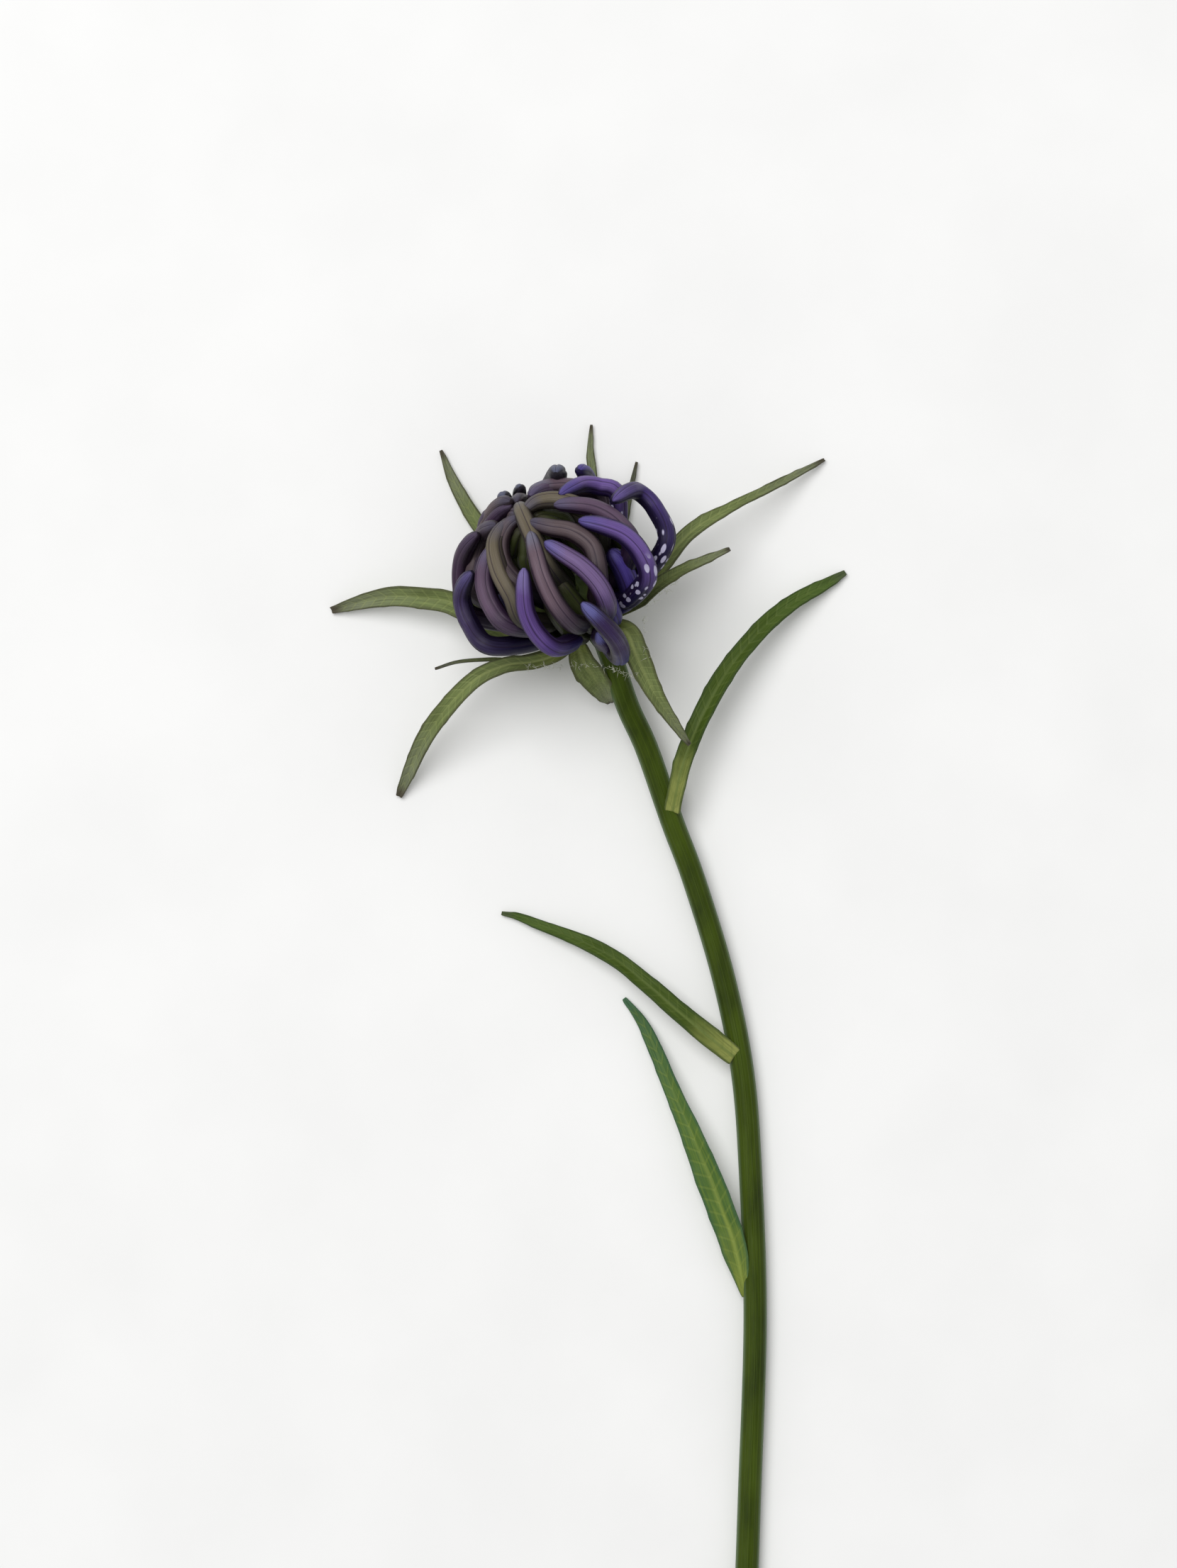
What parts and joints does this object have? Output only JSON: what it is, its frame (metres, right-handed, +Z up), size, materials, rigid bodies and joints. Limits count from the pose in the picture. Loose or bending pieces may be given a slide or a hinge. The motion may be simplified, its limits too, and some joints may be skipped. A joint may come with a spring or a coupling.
{
  "type": "round-headed rampion flower",
  "caption": "Cut stem of a round-headed rampion, lying down: a half-open globe of incurved violet florets on pointed green bracts, with narrow stem leaves.",
  "frame": {"origin": "middle of the underside of the whole lying flower's box, on the surface that it lies on", "axes": "+Y along the stem from the cut end towards the head, +X to the right seen from above, +Z up"},
  "size_m": [0.0444, 0.104, 0.0191],
  "materials": {
    "floret_violet": "satin",
    "floret_mauve": "satin",
    "floret_olive": "satin",
    "receptacle_flesh": "matte",
    "bract_blade": "matte",
    "leaf_blade": "matte",
    "stem_skin": "satin"
  },
  "bodies": {
    "root": {"bract_back": "bract_blade", "bract_back_left": "bract_blade", "bract_back_right": "bract_blade", "bract_front": "bract_blade", "bract_left": "bract_blade", "bract_left_front": "bract_blade", "bract_left_thin": "bract_blade", "bract_right": "bract_blade", "bract_right_long": "bract_blade", "bract_under": "bract_blade", "floret_back_a": "floret_violet", "floret_back_b": "floret_violet", "floret_back_c": "floret_violet", "floret_back_d": "floret_violet", "floret_back_e": "floret_violet", "floret_back_f": "floret_violet", "floret_core_1": "floret_olive", "floret_core_2": "floret_olive", "floret_core_3": "floret_olive", "floret_core_4": "floret_olive", "floret_core_5": "floret_olive", "floret_core_6": "floret_olive", "floret_core_7": "floret_olive", "floret_front": "floret_violet", "floret_front_low": "floret_violet", "floret_front_right": "floret_violet", "floret_inner_back_a": "floret_olive", "floret_inner_back_b": "floret_olive", "floret_inner_back_c": "floret_olive", "floret_inner_front": "floret_olive", "floret_inner_left": "floret_olive", "floret_inner_right": "floret_olive", "floret_left": "floret_violet", "floret_left_back": "floret_violet", "floret_mid_back_a": "floret_mauve", "floret_mid_back_b": "floret_mauve", "floret_mid_back_c": "floret_mauve", "floret_mid_back_d": "floret_mauve", "floret_mid_front": "floret_mauve", "floret_mid_front_right": "floret_mauve", "floret_mid_left": "floret_mauve", "floret_mid_left_back": "floret_mauve", "floret_mid_left_front": "floret_mauve", "floret_mid_right": "floret_mauve", "floret_mid_right_back": "floret_mauve", "floret_right": "floret_violet", "floret_right_back": "floret_violet", "floret_right_hook": "floret_violet", "leaf_lower": "leaf_blade", "leaf_middle": "leaf_blade", "leaf_upper": "leaf_blade", "receptacle": "receptacle_flesh", "stem": "stem_skin"}
  },
  "joints": []
}
